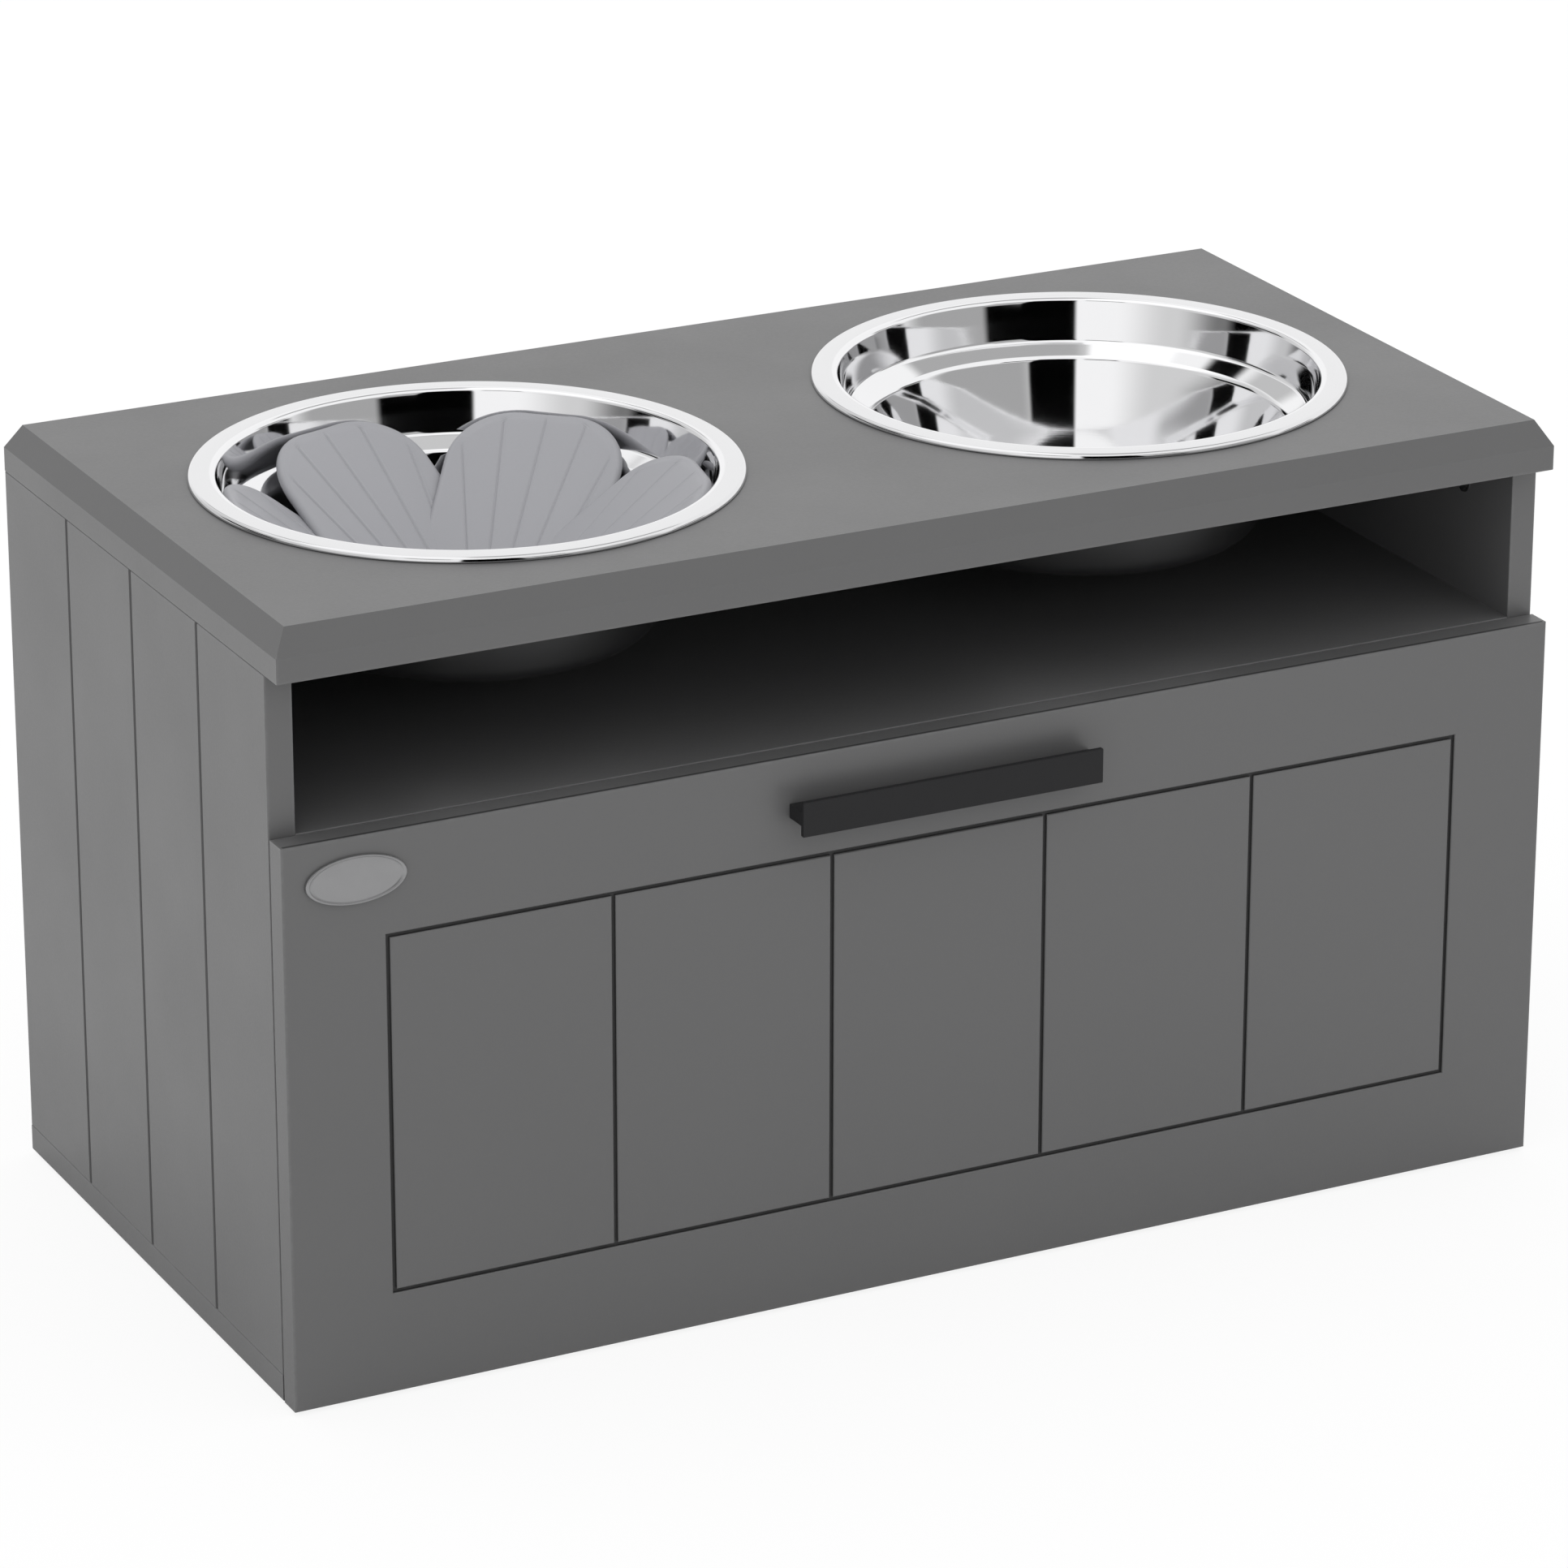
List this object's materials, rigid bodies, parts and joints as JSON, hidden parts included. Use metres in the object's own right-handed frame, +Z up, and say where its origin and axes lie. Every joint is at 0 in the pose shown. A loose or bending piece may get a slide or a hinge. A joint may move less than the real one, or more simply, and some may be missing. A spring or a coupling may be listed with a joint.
{
  "type": "elevated dog feeder with storage",
  "caption": "Raised pet feeder: a painted cabinet with lift-out steel bowls, a petal slow-feeder insert, an open shelf compartment and a drawer with a bar handle.",
  "frame": {"origin": "bottom centre of the whole object's box, on the floor, the handle included", "axes": "+X to the right seen from the drawer's side, +Y to the back, +Z up"},
  "size_m": [0.6, 0.313, 0.3475],
  "materials": {
    "painted_board": "fibreboard, satin grey paint",
    "painted_panel": "thin hardboard, grey",
    "stainless": "polished stainless steel",
    "insert_plastic": "satin moulded, light grey",
    "cup_rubber": "soft, translucent grey",
    "black_paint": "satin black powder coat",
    "badge_plastic": "light grey, bare",
    "zinc": "zinc plated",
    "nylon": "white nylon",
    "dowel_wood": "bare beech",
    "pad_rubber": "matt"
  },
  "bodies": {
    "cabinet": {"top_board": "painted_board", "side_panel_left": "painted_board", "side_panel_right": "painted_board", "bottom_board": "painted_board", "shelf_board": "painted_board", "back_panel": "painted_panel", "foot_pads": "pad_rubber", "top_cam_bolts": "zinc", "top_cam_nuts": "zinc", "top_dowels": "dowel_wood", "shelf_cam_bolts": "zinc", "shelf_cam_nuts": "zinc", "shelf_dowels": "dowel_wood", "bottom_screws": "zinc", "cabinet_rail_left": "zinc", "cabinet_rail_right": "zinc", "cabinet_rail_screws": "zinc", "front_roller_pins": "zinc"},
    "drawer": {"drawer_front": "painted_board", "drawer_side_left": "painted_board", "drawer_side_right": "painted_board", "drawer_back": "painted_board", "drawer_bottom": "painted_panel", "handle_bar": "black_paint", "handle_screws": "zinc", "badge_plate": "badge_plastic", "drawer_cam_bolts": "zinc", "drawer_cam_nuts": "zinc", "drawer_dowels": "dowel_wood", "drawer_back_screws": "zinc", "drawer_rail_left": "zinc", "drawer_rail_right": "zinc", "drawer_rail_screws": "zinc", "rear_roller_pins": "zinc"},
    "front_roller_left": {"front_roller_left": "nylon"},
    "rear_roller_left": {"rear_roller_left": "nylon"},
    "front_roller_right": {"front_roller_right": "nylon"},
    "rear_roller_right": {"rear_roller_right": "nylon"},
    "bowl_left": {"bowl_left": "stainless"},
    "bowl_right": {"bowl_right": "stainless"},
    "feeder_insert": {"feeder_insert": "insert_plastic", "suction_cup": "cup_rubber"}
  },
  "joints": [
    {"name": "drawer_slide", "type": "slide", "parent": "cabinet", "child": "drawer", "axis": [0, -1, 0], "range_m": [0, 0.185]},
    {"name": "front_roller_left_spin", "type": "hinge", "parent": "cabinet", "child": "front_roller_left", "pos_m": [-0.28165, -0.1205, 0.0407], "axis": [1, 0, 0], "range_deg": [0, 1420]},
    {"name": "rear_roller_left_spin", "type": "hinge", "parent": "drawer", "child": "rear_roller_left", "pos_m": [-0.2808, 0.1095, 0.042], "axis": [1, 0, 0], "range_deg": [0, 1220]},
    {"name": "front_roller_right_spin", "type": "hinge", "parent": "cabinet", "child": "front_roller_right", "pos_m": [0.28165, -0.1205, 0.0407], "axis": [1, 0, 0], "range_deg": [0, 1420]},
    {"name": "rear_roller_right_spin", "type": "hinge", "parent": "drawer", "child": "rear_roller_right", "pos_m": [0.2808, 0.1095, 0.042], "axis": [1, 0, 0], "range_deg": [0, 1220]},
    {"name": "bowl_left_lift", "type": "slide", "parent": "cabinet", "child": "bowl_left", "axis": [0, 0, 1], "range_m": [0, 0.09]},
    {"name": "bowl_right_lift", "type": "slide", "parent": "cabinet", "child": "bowl_right", "axis": [0, 0, 1], "range_m": [0, 0.09]},
    {"name": "insert_lift", "type": "slide", "parent": "bowl_left", "child": "feeder_insert", "axis": [0, 0, 1], "range_m": [0, 0.08]}
  ],
  "couplings": [
    {"joint": "front_roller_left_spin", "follows": "drawer_slide", "rad_per_m": 133.33},
    {"joint": "rear_roller_left_spin", "follows": "drawer_slide", "rad_per_m": 114.29},
    {"joint": "front_roller_right_spin", "follows": "drawer_slide", "rad_per_m": 133.33},
    {"joint": "rear_roller_right_spin", "follows": "drawer_slide", "rad_per_m": 114.29}
  ]
}
